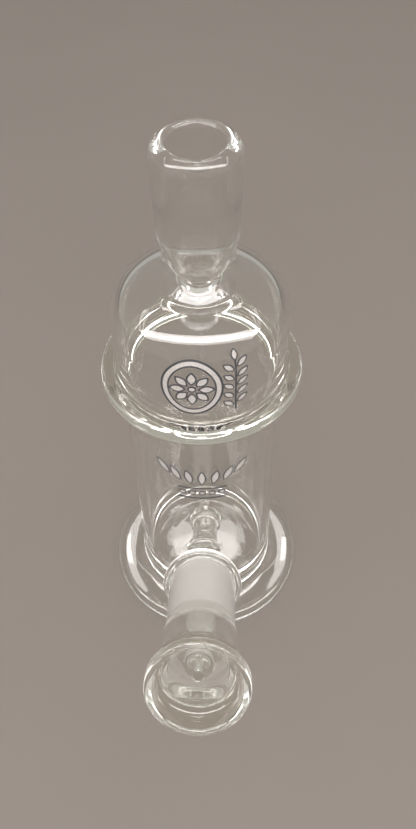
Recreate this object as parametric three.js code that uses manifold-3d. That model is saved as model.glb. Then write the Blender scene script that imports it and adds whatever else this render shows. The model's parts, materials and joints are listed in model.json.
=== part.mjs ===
// A small glass water pipe ("bubbler"), blown from borosilicate tubing in millimetres, +Z up.
// The origin is the centre of the foot's underside. The side arm leans towards -Y and carries
// a removable bowl on a tapered 14/23 ground joint.
import * as THREE from 'three';
import { mergeVertices } from 'three/addons/utils/BufferGeometryUtils.js';
import Module from 'manifold-3d';

const wasm = await Module();
wasm.setup();

// Driving dimensions. Heights are above the table, radii from the piece's own axis.
const BODY_SEGMENTS = 40;
const JOINT_SEGMENTS = 28;
const WALL = 2.2;
const GAP = 0.3;

const FOOT_RADIUS = 28.9;
const FOOT_THICKNESS = 5;

const CAN_RADIUS = 20;
const CAN_TOP = 90;
const CAN_FLOOR = 3;
const CAN_CORNER = 4;

const RING_TOP = 94.6;
const RING_BEAD_CENTRE = 22.1;
const RING_BEAD_REACH = 3.1;
const RING_BEAD_RISE = 2.3;

const DOME_RADIUS = 21.3;
const DOME_SHOULDER = 106;
const DOME_TOP = 120.7;
const DOME_FULLNESS = 3.6;
const DOME_HOLE = 6.4;
const DOME_DIP = 0.5;

const NECK_RADIUS = 4.65;
const NECK_BORE = 3.1;
const NECK_TOP = 122.2;

const MOUTH_RADIUS = 9.5;
const MOUTH_WALL = 1.9;
const LIP_CREST = 6.65;
const LIP_ROUND = 0.8;
const LIP_BORE = 6.1;
const LIP_DEPTH = 142;
const TOTAL_HEIGHT = 156;

const ARM_SLOPE = THREE.MathUtils.degToRad(35);
const LIP_REACH = 36.2;
const LIP_HEIGHT = 45.4;
const ARM_RADIUS = 4.4;
const ARM_BORE = 2.8;

// The ground joint: 14.5 mm across its wide end, 23 mm long, a taper of one in ten.
const JOINT_START = -1;
const JOINT_LENGTH = 23;
const JOINT_RADIUS = 7.25;
const JOINT_TAPER = 0.05;
const JOINT_BORE = 4.5;

const STEM_RADIUS = 3.6;
const STEM_BORE = 2.3;
const STEM_LENGTH = 15;
const DIFFUSER_RADIUS = 5;
const DIFFUSER_LENGTH = 9;
const DIFFUSER_SLITS = 6;
const SLIT_WIDTH = 0.9;

const BEAD_LENGTH = 3;
const BEAD_RADIUS = 10.4;
const SOCKET_RADIUS = 8.4;
const SOCKET_LENGTH = 26;
const BOWL_NECK_RADIUS = 8.7;
const BOWL_NECK_BORE = 3.7;
const BOWL_NECK_END = 40;
const CUP_END = 49;
const CUP_RIM = 0.9;
const CUP_RIM_CENTRE = 10.7;
const CUP_FLOOR = 7.3;
const CUP_HOLE = 1.2;

const PRINT_LIFT = 0.1;
const PRINT_THICKNESS = 0.35;

// Each finish of the pieces.
const CLEAR_GLASS = { color: 0xdfe5e0, roughness: 0.03, metalness: 0, transparent: true, opacity: 0.4 };
const TINTED_GLASS = { color: 0xdcdcc0, roughness: 0.03, metalness: 0, transparent: true, opacity: 0.5 };
const GROUND_GLASS = { color: 0xd9d2ce, roughness: 0.6, metalness: 0 };
const ENAMEL = { color: 0xc8c4c2, roughness: 0.5, metalness: 0 };

const model = new THREE.Group();
const armGroup = new THREE.Group();
armGroup.position.set(0, -LIP_REACH, LIP_HEIGHT);
armGroup.rotation.x = Math.PI / 2 - ARM_SLOPE;
armGroup.updateMatrixWorld();
model.add(armGroup);

// Points along an arc, in degrees, as [radius, height] pairs.
function arc(centreRadius, centreHeight, radius, from, to, steps) {
  const points = [];
  for (let i = 0; i <= steps; i += 1) {
    const angle = THREE.MathUtils.degToRad(from + ((to - from) * i) / steps);
    points.push([centreRadius + radius * Math.cos(angle), centreHeight + radius * Math.sin(angle)]);
  }
  return points;
}

// A solid of revolution about +Z. The outline runs up the outside and comes back down the inside.
function turned(outline, segments) {
  const points = outline.map(([radius, height]) => new THREE.Vector2(radius, height));
  const onAxis = outline[0][0] === 0 && outline[outline.length - 1][0] === 0;
  if (!onAxis) {
    points.push(points[0].clone());
  }
  const geometry = new THREE.LatheGeometry(points, segments);
  geometry.rotateX(Math.PI / 2);
  return geometry;
}

function toSolid(geometry) {
  const bare = geometry.clone();
  bare.deleteAttribute('normal');
  bare.deleteAttribute('uv');
  const merged = mergeVertices(bare, 1e-4);
  return new wasm.Manifold(new wasm.Mesh({
    numProp: 3,
    vertProperties: new Float32Array(merged.attributes.position.array),
    triVerts: new Uint32Array(merged.index.array),
  }));
}

function toGeometry(solid) {
  const mesh = solid.getMesh();
  const geometry = new THREE.BufferGeometry();
  geometry.setAttribute('position', new THREE.BufferAttribute(mesh.vertProperties, 3));
  geometry.setIndex(new THREE.BufferAttribute(mesh.triVerts, 1));
  geometry.computeVertexNormals();
  return geometry;
}

function addPiece(group, name, geometry, finish) {
  const mesh = new THREE.Mesh(geometry, new THREE.MeshStandardMaterial(finish));
  mesh.name = name;
  group.add(mesh);
}

// Radius of the ground taper at a distance along the arm.
function taperRadius(along) {
  return JOINT_RADIUS - JOINT_TAPER * (along - JOINT_START);
}

function footDisc() {
  const edge = FOOT_THICKNESS / 2;
  return turned([
    [0, 0],
    ...arc(FOOT_RADIUS - edge, edge, edge, -90, 90, 8),
    [0, FOOT_THICKNESS],
  ], BODY_SEGMENTS);
}

function canShell() {
  const bottom = FOOT_THICKNESS;
  const inner = CAN_RADIUS - WALL;
  return turned([
    [0, bottom],
    ...arc(CAN_RADIUS - 1.5, bottom + 1.5, 1.5, -90, 0, 2),
    [CAN_RADIUS, CAN_TOP],
    [inner, CAN_TOP],
    ...arc(inner - CAN_CORNER, bottom + CAN_FLOOR + CAN_CORNER, CAN_CORNER, 0, -90, 3),
    [0, bottom + CAN_FLOOR],
  ], BODY_SEGMENTS);
}

// The can has a hole in its front wall, where the side arm is let in.
function bodyCan() {
  const drill = turned([[0, -30], [ARM_RADIUS + GAP, -30], [ARM_RADIUS + GAP, -14], [0, -14]], JOINT_SEGMENTS);
  drill.applyMatrix4(armGroup.matrixWorld);
  return toGeometry(toSolid(canShell()).subtract(toSolid(drill)));
}

function mariaRing() {
  const middle = CAN_TOP + RING_BEAD_RISE - 0.1;
  const flatten = RING_BEAD_RISE / RING_BEAD_REACH;
  const bead = arc(RING_BEAD_CENTRE, 0, RING_BEAD_REACH, -66, 68, 6);
  return turned([
    [CAN_RADIUS - WALL, CAN_TOP],
    [CAN_RADIUS, CAN_TOP],
    ...bead.map(([radius, height]) => [radius, middle + height * flatten]),
    [DOME_RADIUS, RING_TOP],
    [DOME_RADIUS - WALL, RING_TOP],
  ], BODY_SEGMENTS);
}

// A dome's face: a straight wall, then a quarter superellipse that ends at the neck.
function domeOutline(radius, top, innermost, steps) {
  const points = [[radius, RING_TOP]];
  const rise = top - DOME_SHOULDER;
  const power = 2 / DOME_FULLNESS;
  const end = Math.acos((innermost / radius) ** (1 / power));
  for (let i = 0; i <= steps; i += 1) {
    const angle = (end * i) / steps;
    points.push([radius * Math.cos(angle) ** power, DOME_SHOULDER + rise * Math.sin(angle) ** power]);
  }
  return points;
}

// Close to the neck the dome's top dips a little, as drawn glass does.
const domeWall = domeOutline(DOME_RADIUS, DOME_TOP, DOME_HOLE + 2.6, 8);
const neckStart = DOME_TOP - DOME_DIP;

function domeShell() {
  const inner = domeOutline(DOME_RADIUS - WALL, DOME_TOP - DOME_DIP - WALL, NECK_BORE, 7);
  return turned([
    ...domeWall,
    [DOME_HOLE, neckStart],
    [NECK_BORE, neckStart],
    ...inner.reverse(),
  ], BODY_SEGMENTS);
}

// The neck is a short waist drawn between the dome and the mouthpiece.
function neckTube() {
  return turned([
    [NECK_BORE, neckStart],
    [DOME_HOLE, neckStart],
    [NECK_RADIUS + 0.55, neckStart + 0.35],
    [NECK_RADIUS, neckStart + 1.1],
    [NECK_RADIUS + 0.25, NECK_TOP],
    [NECK_BORE, NECK_TOP],
  ], BODY_SEGMENTS);
}

// The mouthpiece widens upward to a thick rounded lip. The bore opens slowly below the lip into a
// wider hollow and closes again to the neck.
function mouthpiece() {
  const shoulder = MOUTH_RADIUS - LIP_CREST;
  const inner = MOUTH_RADIUS - MOUTH_WALL;
  return turned([
    [NECK_BORE, NECK_TOP],
    [NECK_RADIUS + 0.25, NECK_TOP],
    [5.9, NECK_TOP + 2.4],
    [7.4, NECK_TOP + 5.1],
    [8.4, NECK_TOP + 7.8],
    [8.9, NECK_TOP + 10.8],
    [9.2, NECK_TOP + 16],
    [MOUTH_RADIUS, NECK_TOP + 25],
    ...arc(LIP_CREST, TOTAL_HEIGHT - shoulder, shoulder, 0, 90, 5),
    ...arc(LIP_CREST, TOTAL_HEIGHT - LIP_ROUND, LIP_ROUND, 120, 180, 2),
    [LIP_BORE, TOTAL_HEIGHT - 4],
    [LIP_BORE + 0.15, LIP_DEPTH + 4],
    [inner - 0.1, LIP_DEPTH - 5],
    [inner - 0.2, NECK_TOP + 11],
    [6.6, NECK_TOP + 7.8],
    [5.4, NECK_TOP + 5],
    [4.1, NECK_TOP + 2.6],
    [NECK_BORE + 0.2, NECK_TOP + 1],
  ], BODY_SEGMENTS);
}

// The side arm widens from the can's wall to the joint.
function sideArm() {
  return turned([
    [ARM_BORE, -24],
    [ARM_RADIUS, -24],
    [ARM_RADIUS, -15],
    [5.3, -9],
    [6.6, -4],
    [JOINT_RADIUS, JOINT_START - GAP],
    [JOINT_BORE, JOINT_START - GAP],
    [ARM_BORE, -11],
  ], JOINT_SEGMENTS);
}

function groundJoint() {
  const tip = JOINT_START + JOINT_LENGTH;
  return turned([
    [JOINT_BORE, JOINT_START],
    [JOINT_RADIUS, JOINT_START],
    [taperRadius(tip - 0.5), tip - 0.5],
    [taperRadius(tip) - 0.4, tip],
    [JOINT_BORE, tip],
  ], JOINT_SEGMENTS);
}

function downstem() {
  const top = -24 - GAP;
  return turned([
    [STEM_BORE, top - STEM_LENGTH],
    [STEM_RADIUS, top - STEM_LENGTH],
    [STEM_RADIUS, top],
    [STEM_BORE, top],
  ], JOINT_SEGMENTS);
}

// A closed bulb on the downstem's end, sawn with radial slits that break the smoke into bubbles.
function slitDiffuser() {
  const top = -24 - 2 * GAP - STEM_LENGTH;
  const bottom = top - DIFFUSER_LENGTH;
  let bulb = toSolid(turned([
    [0, bottom],
    ...arc(0, bottom + DIFFUSER_RADIUS, DIFFUSER_RADIUS, -72, 0, 4),
    [STEM_RADIUS, top],
    [STEM_BORE, top],
    ...arc(0, bottom + DIFFUSER_RADIUS, DIFFUSER_RADIUS - 1.4, 0, -72, 4),
    [0, bottom + 1.4],
  ], JOINT_SEGMENTS));
  for (let i = 0; i < DIFFUSER_SLITS; i += 1) {
    const slit = new THREE.BoxGeometry(DIFFUSER_RADIUS, SLIT_WIDTH, 3);
    slit.translate(DIFFUSER_RADIUS / 2 + 2.2, 0, bottom + 2.6);
    slit.rotateZ(((i + 0.5) * 2 * Math.PI) / DIFFUSER_SLITS);
    bulb = bulb.subtract(toSolid(slit));
  }
  return toGeometry(bulb);
}

function socketBead() {
  return turned([
    [taperRadius(0) + GAP, 0],
    ...arc(BEAD_RADIUS - 1.5, 1.5, 1.5, -90, 90, 6),
    [taperRadius(BEAD_LENGTH) + GAP, BEAD_LENGTH],
  ], JOINT_SEGMENTS);
}

function bowlSocket() {
  return turned([
    [taperRadius(BEAD_LENGTH) + GAP, BEAD_LENGTH + GAP],
    [SOCKET_RADIUS, BEAD_LENGTH + GAP],
    [SOCKET_RADIUS, SOCKET_LENGTH],
    [taperRadius(SOCKET_LENGTH) + GAP, SOCKET_LENGTH],
  ], JOINT_SEGMENTS);
}

function bowlNeck() {
  return turned([
    [BOWL_NECK_BORE, SOCKET_LENGTH + GAP],
    [BOWL_NECK_RADIUS, SOCKET_LENGTH + GAP],
    [BOWL_NECK_RADIUS, BOWL_NECK_END],
    [BOWL_NECK_BORE, BOWL_NECK_END],
  ], JOINT_SEGMENTS);
}

// The cup is round-shouldered and thick-walled. Its floor has one small hole, and the rim is rounded.
function bowlCup() {
  const start = BOWL_NECK_END + GAP;
  return turned([
    [BOWL_NECK_BORE, start],
    [BOWL_NECK_RADIUS, start],
    [BOWL_NECK_RADIUS, start + 1],
    [9.6, start + 1.8],
    [10.7, start + 3.1],
    [11.4, start + 4.9],
    [11.65, start + 6.7],
    ...arc(CUP_RIM_CENTRE, CUP_END - CUP_RIM, CUP_RIM, 0, 180, 4),
    [9.4, CUP_END - 2.8],
    [8.7, CUP_END - 4.4],
    [CUP_FLOOR, CUP_END - 5.4],
    [CUP_HOLE, CUP_END - 5.7],
    [CUP_HOLE, start + 1.6],
    [BOWL_NECK_BORE - 0.8, start + 0.9],
  ], JOINT_SEGMENTS);
}

// A thin enamel print that lies on a turned wall: its outline is projected along Y on to a skin.
function printOn(wall, outline) {
  const inner = wall.map(([radius, height]) => [radius + PRINT_LIFT, height]);
  const outer = wall.map(([radius, height]) => [radius + PRINT_LIFT + PRINT_THICKNESS, height]);
  const skin = toSolid(turned([...outer, ...inner.reverse()], BODY_SEGMENTS));
  const stamp = new THREE.ExtrudeGeometry(outline, { depth: 30, bevelEnabled: false, curveSegments: 6 });
  stamp.rotateX(Math.PI / 2);
  return toGeometry(skin.intersect(toSolid(stamp)));
}

function oval(x, z, halfWidth, halfHeight) {
  const shape = new THREE.Shape();
  shape.absellipse(x, z, halfWidth, halfHeight, 0, 2 * Math.PI, false, 0);
  return shape;
}

const canWall = [[CAN_RADIUS, 55], [CAN_RADIUS, CAN_TOP - 1]];

addPiece(model, 'foot_disc', footDisc(), CLEAR_GLASS);
addPiece(model, 'body_can', bodyCan(), CLEAR_GLASS);
addPiece(model, 'maria_ring', mariaRing(), TINTED_GLASS);
addPiece(model, 'dome_shell', domeShell(), CLEAR_GLASS);
addPiece(model, 'neck_tube', neckTube(), CLEAR_GLASS);
addPiece(model, 'mouthpiece', mouthpiece(), CLEAR_GLASS);
addPiece(model, 'medallion_print', printOn(domeWall, oval(-1.6, 108.4, 7, 8.8)), ENAMEL);
addPiece(model, 'sprig_print', printOn(domeWall, oval(8.3, 107.5, 2.6, 8.5)), ENAMEL);
addPiece(model, 'leaf_band_print', printOn(canWall, oval(0.5, 73, 9.5, 10)), ENAMEL);
addPiece(armGroup, 'side_arm', sideArm(), CLEAR_GLASS);
addPiece(armGroup, 'male_ground_joint', groundJoint(), GROUND_GLASS);
addPiece(armGroup, 'downstem', downstem(), CLEAR_GLASS);
addPiece(armGroup, 'slit_diffuser', slitDiffuser(), CLEAR_GLASS);
addPiece(armGroup, 'socket_bead', socketBead(), CLEAR_GLASS);
addPiece(armGroup, 'bowl_socket', bowlSocket(), GROUND_GLASS);
addPiece(armGroup, 'bowl_neck', bowlNeck(), CLEAR_GLASS);
addPiece(armGroup, 'bowl_cup', bowlCup(), TINTED_GLASS);

export default model;
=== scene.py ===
# %% [markdown]
# # A small glass water pipe
#
# This lesson builds the looks of a hand-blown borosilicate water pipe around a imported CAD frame. The
# CAD holds every size and the one joint, where the bowl lifts off its ground taper. Blender makes the
# fine surfaces: glass is judged by its reflections and by how it bends what lies behind it, so the
# skins have to be smooth, closed and of the real wall thickness.
#
# The frame is loaded first. Nothing in it is moved or changed. Sizes are read from it in millimetres,
# because a glass blower thinks in millimetres, and each finished mesh is scaled to metres.

import json
import math

import bmesh
import bpy
from mathutils import Matrix, Vector


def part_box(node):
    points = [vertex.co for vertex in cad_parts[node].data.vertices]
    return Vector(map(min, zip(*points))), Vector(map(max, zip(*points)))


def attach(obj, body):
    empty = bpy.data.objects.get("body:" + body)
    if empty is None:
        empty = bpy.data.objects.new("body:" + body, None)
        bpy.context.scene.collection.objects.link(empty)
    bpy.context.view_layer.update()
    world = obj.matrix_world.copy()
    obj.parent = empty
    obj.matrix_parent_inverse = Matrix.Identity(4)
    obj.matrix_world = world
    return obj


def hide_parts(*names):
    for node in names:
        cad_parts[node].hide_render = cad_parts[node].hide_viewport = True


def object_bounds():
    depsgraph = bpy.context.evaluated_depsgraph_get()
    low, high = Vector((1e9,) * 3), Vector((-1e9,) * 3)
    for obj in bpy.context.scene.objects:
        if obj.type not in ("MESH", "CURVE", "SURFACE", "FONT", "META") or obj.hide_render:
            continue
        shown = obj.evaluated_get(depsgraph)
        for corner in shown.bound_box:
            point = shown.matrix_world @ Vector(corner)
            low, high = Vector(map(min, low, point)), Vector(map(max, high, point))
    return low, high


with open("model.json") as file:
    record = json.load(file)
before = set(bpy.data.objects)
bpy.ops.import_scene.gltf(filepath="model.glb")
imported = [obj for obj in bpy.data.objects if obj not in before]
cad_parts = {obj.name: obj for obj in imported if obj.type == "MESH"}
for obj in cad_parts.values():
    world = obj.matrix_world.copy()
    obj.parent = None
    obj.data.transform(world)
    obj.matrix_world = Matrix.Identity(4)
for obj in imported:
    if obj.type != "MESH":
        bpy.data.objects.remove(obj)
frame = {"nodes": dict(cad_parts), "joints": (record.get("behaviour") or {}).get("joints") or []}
cad_low, cad_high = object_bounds()
MM = 0.001


def box_mm(node):
    """The lowest and highest corner of a CAD node, in millimetres."""
    low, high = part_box(node)
    return low / MM, high / MM


print("frame:", sorted(frame["nodes"]), "box", [round(v / MM, 1) for v in cad_high - cad_low])

# %% [markdown]
# ## The camera
#
# The camera looks down steeply from the front at arm's length, as a person looks at a piece on a
# table, so it sees the mouth, the shoulder of the dome and straight into the bowl. The lens is given
# as a focal length in millimetres, for a sensor of 36 mm. The camera stands two degrees to the side
# of the bowl's arm and leans by about a degree, as a hand-held camera does.

# %% The camera
CAMERA_REACH = 143.1
CAMERA_HEIGHT = 250.3
CAMERA_SIDE = math.radians(2.0)
CAMERA_TURN = math.radians(0.55)
CAMERA_TILT = math.radians(51.3)
CAMERA_ROLL = math.radians(-1.08)
FOCAL_LENGTH = 36.912
SENSOR = 36.0
NEAREST = 0.01

camera_data = bpy.data.cameras.new("table_camera")
camera_data.sensor_width = SENSOR
camera_data.lens = FOCAL_LENGTH
camera_data.clip_start = NEAREST
camera = bpy.data.objects.new("table_camera", camera_data)
camera.location = Vector((
    CAMERA_REACH * math.sin(CAMERA_SIDE),
    -CAMERA_REACH * math.cos(CAMERA_SIDE),
    CAMERA_HEIGHT,
)) * MM
camera.rotation_euler = (
    Matrix.Rotation(CAMERA_SIDE - CAMERA_TURN, 3, "Z")
    @ Matrix.Rotation(math.pi / 2 - CAMERA_TILT, 3, "X")
    @ Matrix.Rotation(CAMERA_ROLL, 3, "Z")
).to_euler()
bpy.context.scene.collection.objects.link(camera)
bpy.context.scene.camera = camera
print("camera at", [round(v, 4) for v in camera.location])

# %% [markdown]
# ## Sizes, and the axis of the arm
#
# The body stands on the frame's own Z axis. The arm, its ground joint and the bowl share a second
# axis, which is the axis of the CAD joint. One matrix carries a shape that is turned about Z on to
# that axis, with zero at the back of the bowl's beaded lip.

# %% Sizes from the frame
def radius_and_top(node):
    """The radius and the top of a node that stands on the body's axis."""
    high = box_mm(node)[1]
    return high.x, high.z


FOOT_RADIUS, FOOT_TOP = radius_and_top("foot_disc")
CAN_RADIUS, CAN_TOP = radius_and_top("body_can")
RING_RADIUS, RING_TOP = radius_and_top("maria_ring")
DOME_RADIUS = box_mm("dome_shell")[1].x
NECK_START, NECK_TOP = box_mm("neck_tube")[0].z, box_mm("neck_tube")[1].z
MOUTH_RADIUS, MOUTH_TOP = radius_and_top("mouthpiece")
JOINT_RADIUS = box_mm("male_ground_joint")[1].x
BEAD_RADIUS = box_mm("socket_bead")[1].x
SOCKET_RADIUS = box_mm("bowl_socket")[1].x
BOWL_NECK_RADIUS = box_mm("bowl_neck")[1].x
CUP_RADIUS = box_mm("bowl_cup")[1].x
WALL = 2.2
BEAD_LENGTH = 3.0
BEAD_ROUND = BEAD_LENGTH / 2

arm_axis = Vector(frame["joints"][0]["axis"]).normalized()
bead_low, bead_high = box_mm("socket_bead")
lip_centre = (bead_low + bead_high) / 2 - arm_axis * BEAD_LENGTH / 2
ON_ARM = Matrix.Translation(lip_centre) @ arm_axis.to_track_quat("Z", "Y").to_matrix().to_4x4()
ON_BODY = Matrix.Identity(4)
print("lip of the socket at", [round(v, 2) for v in lip_centre])

# %% [markdown]
# ## Outlines
#
# Glass is blown on a lathe, so nearly every part is a half outline spun round an axis. An outline is
# a list of points as radius and height. Three helpers draw the stretches that a glass blower makes:
# an arc, a corner softened by the flame, and a free curve through a few points. Straight stretches
# get extra points near their ends. Without them the smooth shading of a small fillet would spread
# along the whole wall, and the wall would bend light as if it were a lens.

# %% Helpers for outlines
SAME_POINT = 1e-4


def arc(radius, height, bend, start, end, steps=10):
    """Points on an arc round (radius, height), from one angle to another, in degrees."""
    angles = [math.radians(start + (end - start) * i / steps) for i in range(steps + 1)]
    return [(radius + bend * math.cos(a), height + bend * math.sin(a)) for a in angles]


def softened(corners, steps=6):
    """Replaces each corner given as (radius, height, trim) by a short curve."""
    path = []
    for i, (radius, height, *trim) in enumerate(corners):
        here = Vector((radius, height))
        if not trim:
            path.append(here)
            continue
        before = Vector(corners[i - 1][:2])
        after = Vector(corners[(i + 1) % len(corners)][:2])
        start = here + (before - here).normalized() * trim[0]
        end = here + (after - here).normalized() * trim[0]
        for k in range(steps + 1):
            t = k / steps
            path.append(start * (1 - t) ** 2 + here * (2 * t * (1 - t)) + end * t ** 2)
    return [tuple(p) for p in path]


def curve_through(points, steps=5):
    """A Catmull-Rom curve through every point."""
    knots = [Vector(p) for p in points]
    knots = [2 * knots[0] - knots[1], *knots, 2 * knots[-1] - knots[-2]]
    path = []
    for a, b, c, d in zip(knots, knots[1:], knots[2:], knots[3:]):
        for k in range(steps):
            t = k / steps
            square = (2 * a - 5 * b + 4 * c - d) * t ** 2
            cube = (3 * b - a - 3 * c + d) * t ** 3
            path.append((2 * b + (c - a) * t + square + cube) / 2)
    return [tuple(p) for p in path] + [tuple(points[-1])]


def held(path, hold=0.35, longest=4.0):
    """Adds points to long stretches: one close to each end, and more in between."""
    result = [Vector(path[0])]
    for a, b in zip(path, path[1:]):
        a, b = Vector(a), Vector(b)
        length = (b - a).length
        if length > 4 * hold:
            middle = max(1, round(length / longest))
            between = [k / middle for k in range(1, middle)]
            marks = [hold / length, *between, 1 - hold / length]
            result += [a.lerp(b, m) for m in marks]
        if length > SAME_POINT:
            result.append(b)
    return [tuple(p) for p in result]


# %% [markdown]
# ## Turning a shape
#
# `bmesh.ops.spin` sweeps the outline once round the axis. A full turn needs `use_merge`, so that the
# last copy meets the first. Points on the axis become many points in one place, so doubles are merged
# to close the poles, and the normals are recalculated because a spin can leave them facing in.

# %% Helpers for meshes
SPIN_STEPS = 128
ARM_STEPS = 64
JOINT_STEPS = 96
BOWL_STEPS = 112
MERGE_DISTANCE = 0.004


def turned(outline, place=ON_BODY, closed=False, steps=SPIN_STEPS):
    """A bmesh, in millimetres, of an outline spun once round the axis of place."""
    shape = bmesh.new()
    points = [shape.verts.new((radius, 0, height)) for radius, height in outline]
    pairs = list(zip(points, points[1:]))
    if closed:
        pairs.append((points[-1], points[0]))
    edges = [shape.edges.new(pair) for pair in pairs]
    bmesh.ops.spin(
        shape, geom=points + edges, cent=(0, 0, 0), axis=(0, 0, 1), dvec=(0, 0, 0),
        angle=2 * math.pi, steps=steps, use_merge=True,
    )
    bmesh.ops.remove_doubles(shape, verts=shape.verts, dist=MERGE_DISTANCE)
    bmesh.ops.recalc_face_normals(shape, faces=shape.faces)
    bmesh.ops.transform(shape, matrix=place, verts=shape.verts)
    return shape


def as_object(name, shape, materials=()):
    """Makes a smooth object, in metres, from a bmesh in millimetres."""
    bmesh.ops.scale(shape, vec=(MM, MM, MM), verts=shape.verts)
    mesh = bpy.data.meshes.new(name)
    shape.to_mesh(mesh)
    shape.free()
    for face in mesh.polygons:
        face.use_smooth = True
    for material in materials:
        mesh.materials.append(material)
    made = bpy.data.objects.new(name, mesh)
    bpy.context.scene.collection.objects.link(made)
    return made


def cut_or_join(target, tools, operation):
    """Applies one Boolean for each tool to the target, and removes the tools."""
    for tool in tools:
        step = target.modifiers.new("weld", "BOOLEAN")
        step.operation = operation
        step.solver = "EXACT"
        step.object = tool
        ready = target.evaluated_get(bpy.context.evaluated_depsgraph_get())
        mesh = bpy.data.meshes.new_from_object(ready)
        target.modifiers.clear()
        target.data = mesh
        bpy.data.objects.remove(tool)


def finish_piece(piece, body, slot, *nodes):
    """Says which body a piece rides on and the CAD nodes that it stands for. The slot, its finish, is
    not used.
    """
    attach(piece, body)
    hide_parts(*nodes)
    print(f"{piece.name}: {len(piece.data.polygons)} faces, rides on {body}")


# %% [markdown]
# ## Shaders as expressions
#
# A finish is easier to read as a formula than as a tangle of nodes. The small class below wraps a
# socket, so that Python's own `*` adds the Math node of a product. Any other node comes from
# `Finish.node`.

# %% Helpers for materials
MOST_OF_NOISE = (0.3, 0.7)


class Wire:
    """A number that varies over a surface."""

    def __init__(self, finish, socket):
        self.finish, self.socket = finish, socket

    def __mul__(self, other):
        return self.finish.node("ShaderNodeMath", {"operation": "MULTIPLY"}, [self, other])


class Finish:
    """A material and its nodes. Its output is set by surface()."""

    def __init__(self, name):
        self.material = bpy.data.materials.new(name)
        self.material.use_nodes = True
        self.tree = self.material.node_tree
        self.tree.nodes.clear()
        self.output = self.tree.nodes.new("ShaderNodeOutputMaterial")

    def node(self, kind, settings=None, values=None, out=0):
        """Adds one node. Settings come first, then values or wires for its sockets."""
        made = self.tree.nodes.new(kind)
        for name, value in (settings or {}).items():
            setattr(made, name, value)
        pairs = enumerate(values) if isinstance(values, list) else (values or {}).items()
        for key, value in pairs:
            if isinstance(value, Wire):
                self.tree.links.new(value.socket, made.inputs[key])
            else:
                made.inputs[key].default_value = value
        return Wire(self, made.outputs[out])

    def place(self):
        """The point on the piece, in metres."""
        return self.node("ShaderNodeTexCoord", out="Object")

    def noise(self, scale, detail=2.0, stretch=None):
        """Smooth noise, from 0 to 1, of so many lumps a metre."""
        at = self.place()
        if stretch:
            at = self.node("ShaderNodeMapping", values={"Vector": at, "Scale": stretch})
        values = {"Vector": at, "Scale": scale, "Detail": detail}
        return self.node("ShaderNodeTexNoise", values=values)

    def band(self, value, low, high, from_value=0.0, to_value=1.0):
        """Maps a value smoothly from low..high to from_value..to_value."""
        settings = {"interpolation_type": "SMOOTHSTEP"}
        values = {
            "Value": value, "From Min": low, "From Max": high,
            "To Min": from_value, "To Max": to_value,
        }
        return self.node("ShaderNodeMapRange", settings, values)

    def mixed(self, share, first, second):
        """A colour between two colours."""
        made = self.tree.nodes.new("ShaderNodeMix")
        made.data_type = "RGBA"
        for name, value in (("Factor", share), ("A", first), ("B", second)):
            sockets = [s for s in made.inputs if s.name == name and s.enabled]
            if isinstance(value, Wire):
                self.tree.links.new(value.socket, sockets[0])
            else:
                sockets[0].default_value = value
        return Wire(self, next(s for s in made.outputs if s.enabled))

    def bump(self, height, strength, distance):
        """A normal for a height field that is this deep, in metres."""
        values = {"Height": height, "Strength": strength, "Distance": distance}
        return self.node("ShaderNodeBump", values=values)

    def surface(self, shader):
        """Joins a shader to the output and gives the finished material."""
        self.tree.links.new(shader.socket, self.output.inputs["Surface"])
        return self.material


# %% [markdown]
# ## Clear glass
#
# Borosilicate glass has an index of refraction of 1.474. The glass is worked by hand in a flame, so
# its surface isn't optically flat: a faint, wide waviness goes into the normal, and a few smudges
# from fingers blur the gloss. Thick glass looks slightly cream-green, so the ring and the bowl's cup
# get a warmer tint than the thin walls. Rays that look for a lamp, or that gather soft light, pass
# straight through with a small loss. That gives the soft, pale shadow of real glass without the
# noise of traced caustics.

# %% Clear glass
GLASS_INDEX = 1.474
THIN_TINT = (0.985, 0.988, 0.978, 1)
THICK_TINT = (0.93, 0.925, 0.86, 1)
SHADOW_TINT = (0.93, 0.93, 0.92, 1)
TINT_EDGE = 0.002
SMUDGE_LUMPS = 55
SMUDGE_FROM, SMUDGE_TO = 0.62, 0.80
SMUDGE_ROUGHNESS = 0.05
WAVE_LUMPS = 70
WAVE_STRENGTH, WAVE_DEPTH = 0.05, 0.002


def lit_through(finish, glass):
    """Lets rays that look for a lamp, or that gather soft light, pass straight through glass."""
    for ray in ("Is Shadow Ray", "Is Diffuse Ray"):
        passing = finish.node("ShaderNodeLightPath", out=ray)
        clear = finish.node("ShaderNodeBsdfTransparent", values={"Color": SHADOW_TINT})
        glass = finish.node("ShaderNodeMixShader", values=[passing, glass, clear])
    return glass


def height_of(finish, start, end):
    """Distance along the line from start towards end, in metres, at each point of the surface."""
    direction = tuple((Vector(end) - Vector(start)).normalized())
    kind = "ShaderNodeVectorMath"
    offset = finish.node(kind, {"operation": "SUBTRACT"}, [finish.place(), tuple(start)])
    return finish.node(kind, {"operation": "DOT_PRODUCT"}, [offset, direction], out="Value")


UNTINTED = (-1.0, -0.9)


def clear_glass(name, thick_from, thick_to, start=(0, 0, 0), end=(0, 0, 1)):
    """Clear glass, tinted where the height along a line is between thick_from and thick_to."""
    finish = Finish(name)
    height = height_of(finish, start, end)
    above = finish.band(height, thick_from - TINT_EDGE, thick_from)
    below = finish.band(height, thick_to, thick_to + TINT_EDGE, 1.0, 0.0)
    smudges = finish.band(finish.noise(SMUDGE_LUMPS, 4), SMUDGE_FROM, SMUDGE_TO)
    waves = finish.noise(WAVE_LUMPS, 1, stretch=(1, 1, 0.35))
    glass = finish.node("ShaderNodeBsdfPrincipled", values={
        "Base Color": finish.mixed(above * below, THIN_TINT, THICK_TINT),
        "Roughness": smudges * SMUDGE_ROUGHNESS,
        "IOR": GLASS_INDEX,
        "Transmission Weight": 1.0,
        "Normal": finish.bump(waves, WAVE_STRENGTH, WAVE_DEPTH),
    })
    return finish.surface(lit_through(finish, glass))


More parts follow.
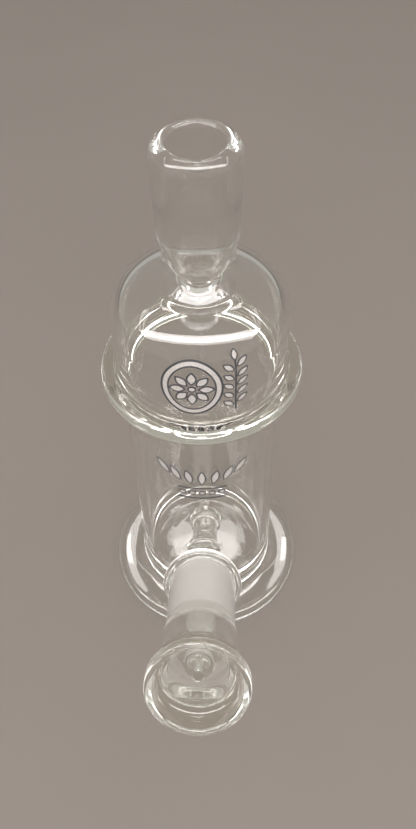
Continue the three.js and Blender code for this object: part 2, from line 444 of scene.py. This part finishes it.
# %% [markdown]
# ## Ground glass
#
# The two faces of the joint are ground with carborundum, so they scatter light and look white. Part
# of the light still passes, so the finish is rough glass with a share of plain white under it. A fine
# bump gives the grain.

# %% Ground glass
GROUND_DARK = (0.86, 0.84, 0.83, 1)
GROUND_LIGHT = (0.95, 0.93, 0.92, 1)
GROUND_SHINE = (0.42, 0.58)
GROUND_CLEARNESS = 0.45
CLOUD_LUMPS, GRAIN_LUMPS = 260, 9000
GRAIN_STRENGTH, GRAIN_DEPTH = 0.35, 0.0002


def ground_glass():
    """Rough, whitish glass, a little cloudy from place to place."""
    finish = Finish("ground_glass")
    grain = finish.noise(GRAIN_LUMPS, 3)
    cloud = finish.noise(CLOUD_LUMPS, 3)
    glass = finish.node("ShaderNodeBsdfPrincipled", values={
        "Base Color": finish.mixed(cloud, GROUND_DARK, GROUND_LIGHT),
        "Roughness": finish.band(cloud, *MOST_OF_NOISE, *GROUND_SHINE),
        "IOR": GLASS_INDEX,
        "Transmission Weight": GROUND_CLEARNESS,
        "Normal": finish.bump(grain, GRAIN_STRENGTH, GRAIN_DEPTH),
    })
    return finish.surface(lit_through(finish, glass))


# %% [markdown]
# ## The body
#
# On the real piece the foot, the can, the ring, the dome, the neck and the mouthpiece are melted
# together, so no face lies inside the glass where two of them meet. One outline therefore goes from
# the middle of the underside, up the outside, over the lip, and back down the inside to the floor of
# the can. Modelled as separate solids they would show a mirror at every seam.

# %% The outline of the body
FOOT_EDGE = FOOT_TOP / 2
CAN_FLOOR = FOOT_TOP + 3
RING_REACH = 3.1
RING_RISE = 2.3
RING_MIDDLE = CAN_TOP + RING_RISE - 0.1
SHOULDER = 106.0
DOME_TOP = NECK_START + 0.5
DOME_FULLNESS = 3.6
DOME_HOLE = 10.8
CONE_FOOT = 8.7
WAIST = 4.9
NECK_BORE = 3.1
MOUTH_WALL = 1.9
LIP_CREST = 6.65
LIP_ROUND = 0.8
LIP_BORE = 6.1
LIP_DEPTH = 142.0
LIP_SHOULDER = MOUTH_RADIUS - LIP_CREST
CAN_INNER = CAN_RADIUS - WALL
DOME_INNER = DOME_RADIUS - WALL
MOUTH_INNER = MOUTH_RADIUS - MOUTH_WALL


def dome_curve(radius, top, innermost, steps=24):
    """A quarter superellipse from the shoulder in to the radius where the neck begins."""
    power = 2 / DOME_FULLNESS
    end = math.acos((innermost / radius) ** (1 / power))
    angles = [end * i / steps for i in range(1, steps + 1)]
    return [
        (radius * math.cos(a) ** power, SHOULDER + (top - SHOULDER) * math.sin(a) ** power)
        for a in angles
    ]


ring_bead = [
    (radius, RING_MIDDLE + height * RING_RISE / RING_REACH)
    for radius, height in arc(RING_RADIUS - RING_REACH, 0, RING_REACH, -60, 60, 20)
]
outside = softened([
    (0, 0),
    *arc(FOOT_RADIUS - FOOT_EDGE, FOOT_EDGE, FOOT_EDGE, -90, 90, 14),
    (CAN_RADIUS, FOOT_TOP, 5.0),
    (CAN_RADIUS, CAN_TOP - 0.4, 1.0),
    *ring_bead,
    (DOME_RADIUS, RING_TOP + 0.2, 0.9),
    (DOME_RADIUS, SHOULDER),
    *dome_curve(DOME_RADIUS, DOME_TOP, DOME_HOLE),
    (CONE_FOOT, DOME_TOP - 0.8, 0.8),
    (WAIST + 0.5, DOME_TOP + 1.4, 0.8),
    (WAIST, DOME_TOP + 2.2),
])
barrel = [
    *curve_through([
        (WAIST + 0.04, DOME_TOP + 2.5),
        (5.35, NECK_TOP + 1.7),
        (6.1, NECK_TOP + 2.8),
        (7.4, NECK_TOP + 5.1),
        (8.4, NECK_TOP + 7.8),
        (8.9, NECK_TOP + 10.8),
        (9.2, NECK_TOP + 16),
        (MOUTH_RADIUS - 0.08, NECK_TOP + 22),
        (MOUTH_RADIUS, NECK_TOP + 28),
    ]),
    *arc(LIP_CREST, MOUTH_TOP - LIP_SHOULDER, LIP_SHOULDER, 0, 90, 18),
    *arc(LIP_CREST, MOUTH_TOP - LIP_ROUND, LIP_ROUND, 100, 180, 8),
    *curve_through([
        (LIP_CREST - LIP_ROUND + 0.02, MOUTH_TOP - 1.4),
        (LIP_BORE, MOUTH_TOP - 5),
        (LIP_BORE + 0.2, LIP_DEPTH + 3),
        (MOUTH_INNER - 0.5, LIP_DEPTH - 2),
        (MOUTH_INNER - 0.2, NECK_TOP + 13.5),
        (MOUTH_INNER - 0.55, NECK_TOP + 10.6),
        (6.4, NECK_TOP + 7.8),
        (5.3, NECK_TOP + 5),
        (4.15, NECK_TOP + 2.6),
        (3.4, NECK_TOP + 1),
        (NECK_BORE, NECK_TOP - 0.4),
    ]),
]
inside = softened([
    (NECK_BORE, NECK_TOP - 0.6),
    (NECK_BORE, NECK_START - WALL, 1.0),
    *reversed(dome_curve(DOME_INNER, NECK_START - WALL, NECK_BORE + 2.2)),
    (DOME_INNER, SHOULDER),
    (DOME_INNER, RING_TOP + 4, 5.0),
    (CAN_INNER, CAN_TOP - 8, 5.0),
    (CAN_INNER, CAN_FLOOR, 7.0),
    (0, CAN_FLOOR),
])
body_outline = held(outside + barrel + inside)
print("the body's outline has", len(body_outline), "points")

# %% [markdown]
# ## The arm and the downstem
#
# The arm is one tube that passes through the wall: outside it widens to the ground joint, inside it
# carries on into the water. It is joined to the body with a Boolean, which is the computer's way of
# welding, and its bore is then cut out of both. A flare at the wall stands for the fillet of melted
# glass. Heights on the arm are negative towards the body.

# %% Weld the arm to the body
ARM_BORE = 2.8
ARM_RADIUS = 4.4
STEM_BORE = 2.3
STEM_RADIUS = 3.6
JOINT_BORE = 4.5
STEM_END = -39.6
STEM_START = -24
WALL_AT = -19.6
JOINT_START = -1
OVERSHOOT = 2

tube = held(softened([
    (0, STEM_END),
    (STEM_RADIUS, STEM_END, 0.4),
    (STEM_RADIUS, STEM_START - 1.5, 1.0),
    (ARM_RADIUS, STEM_START, 1.0),
    (ARM_RADIUS + 0.3, WALL_AT, 2.0),
    (ARM_RADIUS, -14),
    *curve_through([(ARM_RADIUS, -13.5), (5.3, -9), (6.6, -4), (JOINT_RADIUS, -1.2)]),
    (JOINT_RADIUS, JOINT_START),
    (0, JOINT_START),
]))
bore = held(softened([
    (0, STEM_END - OVERSHOOT),
    (STEM_BORE, STEM_END - OVERSHOOT),
    (STEM_BORE, STEM_START - 2, 1.0),
    (ARM_BORE, STEM_START, 1.0),
    (ARM_BORE, -11, 1.5),
    (JOINT_BORE, JOINT_START - 0.5, 0.5),
    (JOINT_BORE, JOINT_START + OVERSHOOT),
    (0, JOINT_START + OVERSHOOT),
]))
body_glass = clear_glass("clear_glass", CAN_TOP * MM, RING_TOP * MM)
body = as_object("fused_glass_body", turned(body_outline), [body_glass])
cut_or_join(body, [as_object("arm_tube", turned(tube, ON_ARM, steps=ARM_STEPS))], "UNION")
cut_or_join(body, [as_object("arm_bore", turned(bore, ON_ARM, steps=ARM_STEPS))], "DIFFERENCE")
finish_piece(
    body, "pipe_body", "clear_glass",
    "foot_disc", "body_can", "maria_ring", "dome_shell",
    "neck_tube", "mouthpiece", "side_arm", "downstem",
)

# %% [markdown]
# ## The ground joint
#
# The taper narrows by one part in ten. Its own piece lets the frosted faces end exactly where the
# grinding wheel stopped. A face gets the ground finish if its middle lies on the taper.

# %% The ground joint
TAPER = 0.05
JOINT_END = 22.0
SEAM = 0.05
GROUND, CLEAR = 1, 0


def taper_radius(along):
    """The radius of the taper at a height on the arm."""
    return JOINT_RADIUS - TAPER * (along - JOINT_START)


def grind(shape, start, end, near_radius, slack=0.25):
    """Gives the ground finish to faces on the taper, from start to end along the arm."""
    back = ON_ARM.inverted()
    for face in shape.faces:
        middle = back @ face.calc_center_median()
        radius = math.hypot(middle.x, middle.y)
        on_taper = abs(radius - near_radius(middle.z)) < slack
        face.material_index = GROUND if on_taper and start < middle.z < end else CLEAR


frosted = ground_glass()
arm_glass = clear_glass("clear_glass_arm", *UNTINTED)
joint_outline = held(softened([
    (JOINT_BORE, JOINT_START + SEAM),
    (JOINT_RADIUS, JOINT_START + SEAM),
    (taper_radius(JOINT_END), JOINT_END, 0.5),
    (JOINT_BORE, JOINT_END, 0.4),
]), longest=2.0)
joint_shape = turned(joint_outline, ON_ARM, closed=True, steps=JOINT_STEPS)
grind(joint_shape, -0.5, JOINT_END - 0.4, taper_radius)
joint = as_object("ground_taper", joint_shape, [arm_glass, frosted])
finish_piece(joint, "pipe_body", "ground_glass", "male_ground_joint")

# %% [markdown]
# ## The diffuser
#
# The downstem ends under water in a closed bulb that is sawn with slits, so that the smoke leaves it
# as small bubbles. The slits are cut with thin boxes.

# %% The diffuser
BULB_RADIUS = 5.0
BULB_WALL = 1.4
BULB_END = STEM_END - 9.0
BULB_TOP = STEM_END - SEAM
SLITS = 6
SLIT_WIDTH = 0.9
SLIT_HEIGHT = 3

bulb_outline = held(softened([
    (0, BULB_END),
    *arc(0, BULB_END + BULB_RADIUS, BULB_RADIUS, -88, 10, 20),
    (STEM_RADIUS, BULB_TOP, 0.3),
    (STEM_BORE, BULB_TOP, 0.3),
    *arc(0, BULB_END + BULB_RADIUS, BULB_RADIUS - BULB_WALL, 10, -86, 20),
    (0, BULB_END + BULB_WALL),
]))
bulb_shape = turned(bulb_outline, ON_ARM, steps=ARM_STEPS)
bulb = as_object("slit_diffuser_bulb", bulb_shape, [arm_glass])
blades = []
for i in range(SLITS):
    blade = bmesh.new()
    bmesh.ops.create_cube(blade, size=1)
    bmesh.ops.scale(blade, vec=(BULB_RADIUS, SLIT_WIDTH, SLIT_HEIGHT), verts=blade.verts)
    middle = (BULB_RADIUS / 2 + 2.2, 0, BULB_END + 2.6)
    bmesh.ops.translate(blade, vec=middle, verts=blade.verts)
    spot = ON_ARM @ Matrix.Rotation((i + 0.5) * 2 * math.pi / SLITS, 4, "Z")
    bmesh.ops.transform(blade, matrix=spot, verts=blade.verts)
    blades.append(as_object(f"blade_{i}", blade))
cut_or_join(bulb, blades, "DIFFERENCE")
finish_piece(bulb, "pipe_body", "clear_glass", "slit_diffuser")

# %% [markdown]
# ## The bowl
#
# The bowl comes off in one piece of glass: a beaded lip, a socket that is ground inside, a
# thick-walled neck, and a flared cup with a floor and one small hole. The socket's ground face is
# seen through its own clear wall, which works as a lens and makes it look as wide as the tube.

# %% The bowl
FIT = 0.12
SOCKET_END = 24.0
NECK_WALK = 26.5
NECK_END = 40.3
CUP_END = 49.0
RIM = 0.9
RIM_CENTRE = 10.7
FLOOR_RADIUS = 7.3
HOLE = 1.2
BOWL_NECK_BORE = 3.7
TINT_START, TINT_END = 0.040, 0.060


def socket_radius(along):
    """The radius of the socket's ground face: the taper, and the gap of the fit."""
    return taper_radius(along) + FIT


cup_outside = curve_through([
    (BOWL_NECK_RADIUS, NECK_END),
    (BOWL_NECK_RADIUS + 0.25, NECK_END + 0.9),
    (9.75, NECK_END + 2.0),
    (10.75, NECK_END + 3.3),
    (11.4, NECK_END + 5.0),
    (CUP_RADIUS, CUP_END - 2.2),
])
cup_inside = curve_through([
    (9.75, CUP_END - 1.6),
    (9.45, CUP_END - 2.8),
    (8.65, CUP_END - 4.2),
    (FLOOR_RADIUS, CUP_END - 4.9),
])
bowl_outline = held(softened([
    (socket_radius(0), 0.5, 0.3),
    (taper_radius(0) + 0.9, 0.0, 0.3),
    *arc(BEAD_RADIUS - BEAD_ROUND, BEAD_ROUND, BEAD_ROUND, -80, 80, 14),
    (SOCKET_RADIUS, BEAD_LENGTH + 0.1, 0.7),
    (SOCKET_RADIUS, SOCKET_END, 1.5),
    (BOWL_NECK_RADIUS, NECK_WALK, 1.0),
    *cup_outside,
    *arc(RIM_CENTRE, CUP_END - RIM, RIM, 8, 172, 14),
    *cup_inside,
    (HOLE, CUP_END - 5.3, 0.4),
    (HOLE, NECK_END - 1.0, 0.5),
    (BOWL_NECK_BORE, NECK_END - 3.0, 1.6),
    (BOWL_NECK_BORE, SOCKET_END + 2.0, 1.2),
    (socket_radius(SOCKET_END), SOCKET_END, 0.8),
]), longest=2.0)
bowl_shape = turned(bowl_outline, ON_ARM, closed=True, steps=BOWL_STEPS)
grind(bowl_shape, 0.6, SOCKET_END - 0.5, socket_radius)
bowl_glass = clear_glass(
    "thick_glass", TINT_START, TINT_END, lip_centre * MM, (lip_centre + arm_axis) * MM,
)
bowl = as_object("bowl_glass", bowl_shape, [bowl_glass, frosted])
finish_piece(bowl, "bowl", "thick_glass", "socket_bead", "bowl_socket", "bowl_neck", "bowl_cup")

# %% [markdown]
# ## The printed ornament
#
# Such pieces carry a fired enamel print: dark lines filled with a milky white. The ornament here is
# plain: a rosette in an oval, a leafy sprig, and a garland under the ring. Each motif starts as flat
# faces in millimetres. A petal gets its dark outline from a smaller, milky petal just above it, and
# the cuts of `bisect_plane` let the print bend when it is wrapped round the wall.

# %% Enamel
ENAMEL_SHINE = (0.32, 0.5)
SPECKLE_LUMPS = 2600
SPECKLE_STRENGTH, SPECKLE_DEPTH = 0.25, 0.0001


def enamel(name, low, high):
    """Fired paint that is speckled between two colours."""
    finish = Finish(name)
    speckle = finish.noise(SPECKLE_LUMPS, 4)
    paint = finish.node("ShaderNodeBsdfPrincipled", values={
        "Base Color": finish.mixed(finish.band(speckle, *MOST_OF_NOISE), low, high),
        "Roughness": finish.band(speckle, *MOST_OF_NOISE, *ENAMEL_SHINE),
        "Normal": finish.bump(speckle, SPECKLE_STRENGTH, SPECKLE_DEPTH),
    })
    return finish.surface(paint)


milky = enamel("milky_enamel", (0.50, 0.47, 0.46, 1), (0.62, 0.59, 0.575, 1))
charcoal = enamel("charcoal_enamel", (0.045, 0.047, 0.055, 1), (0.085, 0.086, 0.095, 1))

# %% Helpers for prints
MILKY, CHARCOAL = 0, 1
LINE = 0.42
FINE_LINE = 0.34
DOT_LINE = 0.35
PRINT_LIFT = 0.06
PRINT_THICKNESS = 0.08
PRINT_STEP = 0.03
PRINT_CELL = 1.2
PETAL_CORNERS = 16
OVAL_CORNERS = 56


def petal(shape, x, y, width, length, turn=0.0, point=1.0, line=LINE):
    """Adds one petal to a flat print: a dark leaf with a smaller, milky one on top of it."""
    for colour, margin in ((CHARCOAL, 0.0), (MILKY, line)):
        made = bmesh.ops.create_circle(shape, cap_ends=True, segments=PETAL_CORNERS, radius=0.5)
        rim = made["verts"]
        for corner in rim:
            pinch = 1 - point * (2 * corner.co.y) ** 2 * 0.6
            corner.co.x *= pinch * (width - 2 * margin)
            corner.co.y = corner.co.y * (length - 2.6 * margin) + length / 2
            corner.co.z = PRINT_STEP if colour == MILKY else 0
        rim[0].link_faces[0].material_index = colour
        bmesh.ops.rotate(shape, verts=rim, matrix=Matrix.Rotation(turn, 3, "Z"))
        bmesh.ops.translate(shape, verts=rim, vec=(x, y, 0))


def dot(shape, x, y, size):
    """Adds one round dot that stands on (x, y)."""
    petal(shape, x, y, size, size, point=0.0, line=DOT_LINE)


def bar(shape, x, y, width, length):
    """Adds one plain, dark bar, centred on (x, y)."""
    place = Matrix.Translation((x, y, 0)) @ Matrix.Diagonal((width, length, 1, 1))
    made = bmesh.ops.create_grid(shape, x_segments=1, y_segments=1, size=0.5, matrix=place)
    for face in {f for v in made["verts"] for f in v.link_faces}:
        face.material_index = CHARCOAL


def ring_of(shape, x, y, half_width, half_height, line, colour=CHARCOAL):
    """Adds an oval line round (x, y)."""
    loops = []
    for shrink in (0, line):
        rim = bmesh.ops.create_circle(shape, segments=OVAL_CORNERS, radius=1)["verts"]
        bmesh.ops.scale(shape, verts=rim, vec=(half_width - shrink, half_height - shrink, 1))
        bmesh.ops.translate(shape, verts=rim, vec=(x, y, 0))
        loops += list({edge for corner in rim for edge in corner.link_edges})
    for face in bmesh.ops.bridge_loops(shape, edges=loops)["faces"]:
        face.material_index = colour


def wrapped(name, flat, wall, around):
    """Cuts a flat print into cells, wraps it round a turned wall and gives it a thickness."""
    span = [v.co.copy() for v in flat.verts]
    for axis in (0, 1):
        low, high = min(c[axis] for c in span), max(c[axis] for c in span)
        normal = Vector((1, 0, 0)) if axis == 0 else Vector((0, 1, 0))
        for k in range(1, math.ceil((high - low) / PRINT_CELL)):
            everything = flat.verts[:] + flat.edges[:] + flat.faces[:]
            at = normal * (low + k * PRINT_CELL)
            bmesh.ops.bisect_plane(flat, geom=everything, plane_co=at, plane_no=normal)
    lengths = [0.0]
    for a, b in zip(wall, wall[1:]):
        lengths.append(lengths[-1] + (Vector(b) - Vector(a)).length)
    for corner in flat.verts:
        along = min(max(corner.co.y, 0), lengths[-1] - 1e-6)
        k = next(i for i in range(1, len(lengths)) if lengths[i] > along)
        a, b = Vector(wall[k - 1]), Vector(wall[k])
        spot = a.lerp(b, (along - lengths[k - 1]) / (lengths[k] - lengths[k - 1]))
        out = Vector((b - a).yx).normalized() * Vector((1, -1))
        spot += out * (PRINT_LIFT + corner.co.z)
        angle = corner.co.x / around
        corner.co = Vector((spot.x * math.sin(angle), -spot.x * math.cos(angle), spot.y))
    bmesh.ops.recalc_face_normals(flat, faces=flat.faces)
    facing = sum(f.normal.dot(Vector((*f.calc_center_median().xy, 0))) for f in flat.faces)
    if facing < 0:
        bmesh.ops.reverse_faces(flat, faces=flat.faces)
    bmesh.ops.solidify(flat, geom=flat.faces[:], thickness=PRINT_THICKNESS)
    bmesh.ops.recalc_face_normals(flat, faces=flat.faces)
    made = as_object(name, flat, [milky, charcoal])
    for face in made.data.polygons:
        face.use_smooth = False
    return made


# %% The rosette in its oval
DOME_PRINT_FROM = RING_TOP + 1.0
ROSETTE_X, ROSETTE_Y = -1.6, 11.5
PETALS = 8
PETAL_START = 1.3

dome_wall = held([
    (DOME_RADIUS, DOME_PRINT_FROM),
    (DOME_RADIUS, SHOULDER),
    *dome_curve(DOME_RADIUS, DOME_TOP, 9.0),
])
medallion = bmesh.new()
ring_of(medallion, ROSETTE_X, ROSETTE_Y, 7.2, 8.6, 0.5)
ring_of(medallion, ROSETTE_X, ROSETTE_Y, 6.65, 8.05, 1.0, MILKY)
ring_of(medallion, ROSETTE_X, ROSETTE_Y, 5.6, 7.0, 0.35)
for i in range(PETALS):
    turn = 2 * math.pi * i / PETALS
    x, y = ROSETTE_X - PETAL_START * math.sin(turn), ROSETTE_Y + PETAL_START * math.cos(turn)
    petal(medallion, x, y, 2.5, 4.0, turn)
dot(medallion, ROSETTE_X, ROSETTE_Y - 1.0, 2.0)
rosette_print = wrapped("rosette_print", medallion, dome_wall, DOME_RADIUS)
finish_piece(rosette_print, "pipe_body", "fired_enamel", "medallion_print")

# %% The sprig
SPRIG_X = 8.4
LEAF_PAIRS = 5
LEAF_START, LEAF_STEP = 4.5, 2.9
LEAF_WIDTH = 1.8

sprig = bmesh.new()
bar(sprig, SPRIG_X, 11.0, 0.45, 16.0)
for i in range(LEAF_PAIRS):
    for side in (-1, 1):
        y = LEAF_START + i * LEAF_STEP + (side > 0) * 0.9
        petal(sprig, SPRIG_X + side * 0.3, y, LEAF_WIDTH, 3.4, -side * 0.9, line=FINE_LINE)
petal(sprig, SPRIG_X, 18.6, LEAF_WIDTH, 3.0, line=FINE_LINE)
sprig_print = wrapped("sprig_print", sprig, dome_wall, DOME_RADIUS)
finish_piece(sprig_print, "pipe_body", "fired_enamel", "sprig_print")

# %% The garland under the ring
CAN_PRINT_FROM = 60.0
GARLAND_Y = 14.0
BAR_WIDTH, BAR_LINE = 13.0, 0.5

can_wall = held([(CAN_RADIUS, CAN_PRINT_FROM), (CAN_RADIUS, CAN_TOP - 2.0)])
garland = bmesh.new()
for i in range(-3, 4):
    petal(garland, i * 2.8, GARLAND_Y - 6.5 + 0.35 * i * i, 2.4, 6.0, -i * 0.22)
bar(garland, 0, GARLAND_Y - 8.0, BAR_WIDTH, BAR_LINE)
for i in range(-2, 3):
    dot(garland, i * 2.6, GARLAND_Y - 11.2, 2.0)
bar(garland, 0, GARLAND_Y - 12.4, BAR_WIDTH, BAR_LINE)
garland_print = wrapped("garland_print", garland, can_wall, CAN_RADIUS)
finish_piece(garland_print, "pipe_body", "fired_enamel", "leaf_band_print")

# %% [markdown]
# ## The floor and the light
#
# A plain, warm grey floor stands under the glass, because clear glass takes its body colour from
# what lies behind it. The strips stand for the bright edge of a wide frame of light overhead. They
# are seen only in reflections, where they give the band on the dome, the crescent at the neck and
# the patch on the can's floor. Two soft boxes and the room, which grows a little darker towards the
# back, light the surfaces.

# %% Floor
FLOOR_DARK = (0.225, 0.197, 0.18, 1)
FLOOR_LIGHT = (0.258, 0.227, 0.208, 1)
FLOOR_LUMPS = 6
FLOOR_REACH = 2500
FLOOR_GAP = 0.00015


def floor_finish():
    """Matt, warm grey, hardly mottled."""
    finish = Finish("studio_floor")
    tone = finish.noise(FLOOR_LUMPS, 3)
    paint = finish.node("ShaderNodeBsdfPrincipled", values={
        "Base Color": finish.mixed(tone, FLOOR_DARK, FLOOR_LIGHT),
        "Roughness": 0.9,
        "Specular IOR Level": 0.2,
    })
    return finish.surface(paint)


floor_shape = bmesh.new()
bmesh.ops.create_grid(floor_shape, x_segments=1, y_segments=1, size=FLOOR_REACH)
floor = as_object("studio_floor", floor_shape, [floor_finish()])
floor.location.z = cad_low.z - FLOOR_GAP


# %% Lights
LAMP_COLOUR = (1.0, 0.97, 0.96)
LAMP_HEIGHT = 0.95


def soft_box(name, at, width, depth, radiance, mirrored, turn=0.0, tilt=0.0):
    """A rectangular light that faces down, or back once it is tilted. A mirrored one is seen only in
    reflections and through the glass, and any other one only lights surfaces."""
    data = bpy.data.lights.new(name, "AREA")
    data.shape = "RECTANGLE"
    data.size, data.size_y = width, depth
    data.energy = radiance * math.pi * width * depth
    data.color = LAMP_COLOUR
    made = bpy.data.objects.new(name, data)
    made.location = at
    made.rotation_euler = (math.radians(tilt), 0, math.radians(turn))
    made.visible_diffuse = not mirrored
    made.visible_glossy = mirrored
    made.visible_transmission = mirrored
    bpy.context.scene.collection.objects.link(made)


soft_box("front_strip", (0, -0.27, LAMP_HEIGHT), 3.0, 0.30, 15, True)
soft_box("back_strip", (0, 0.53, LAMP_HEIGHT), 0.50, 0.10, 12, True)
for side in (-1, 1):
    soft_box(f"side_strip_{side}", (side * 0.92, 0.14, LAMP_HEIGHT), 0.06, 1.05, 6, True, side * 56)
soft_box("room_light", (0, 0, 1.0), 1.5, 1.0, 1.45, False)
soft_box("front_fill", (0, -0.9, 0.45), 1.0, 0.5, 4.2, False, tilt=65)

# %% The room
ROOM_COLOUR = (1.0, 0.97, 0.89, 1)
ROOM_FADE = {"From Min": -0.2, "From Max": 0.7, "To Min": 0.62, "To Max": 0.42}

world = bpy.data.worlds.new("room")
world.use_nodes = True
nodes, wires = world.node_tree.nodes, world.node_tree.links
background = nodes["Background"]
background.inputs["Color"].default_value = ROOM_COLOUR
direction = nodes.new("ShaderNodeTexCoord")
parts = nodes.new("ShaderNodeSeparateXYZ")
fade = nodes.new("ShaderNodeMapRange")
for socket, value in ROOM_FADE.items():
    fade.inputs[socket].default_value = value
wires.new(direction.outputs["Generated"], parts.inputs["Vector"])
wires.new(parts.outputs["Y"], fade.inputs["Value"])
wires.new(fade.outputs["Result"], background.inputs["Strength"])
bpy.context.scene.world = world

# %% [markdown]
# ## How far light is followed
#
# A ray that meets the ring, the bowl or the mouthpiece is bent and mirrored many times. With too few
# bounces the thick glass turns black, so the limits are high. Caustics stay off, because the shadow
# rays already pass through the glass.

# %% Bounces
GLASS_BOUNCES = 128
OTHER_BOUNCES = 64

cycles = bpy.context.scene.cycles
cycles.max_bounces = GLASS_BOUNCES
cycles.transmission_bounces = GLASS_BOUNCES
cycles.glossy_bounces = OTHER_BOUNCES
cycles.transparent_max_bounces = OTHER_BOUNCES
cycles.caustics_reflective = False
cycles.caustics_refractive = False
bpy.context.scene.view_settings.view_transform = "Standard"
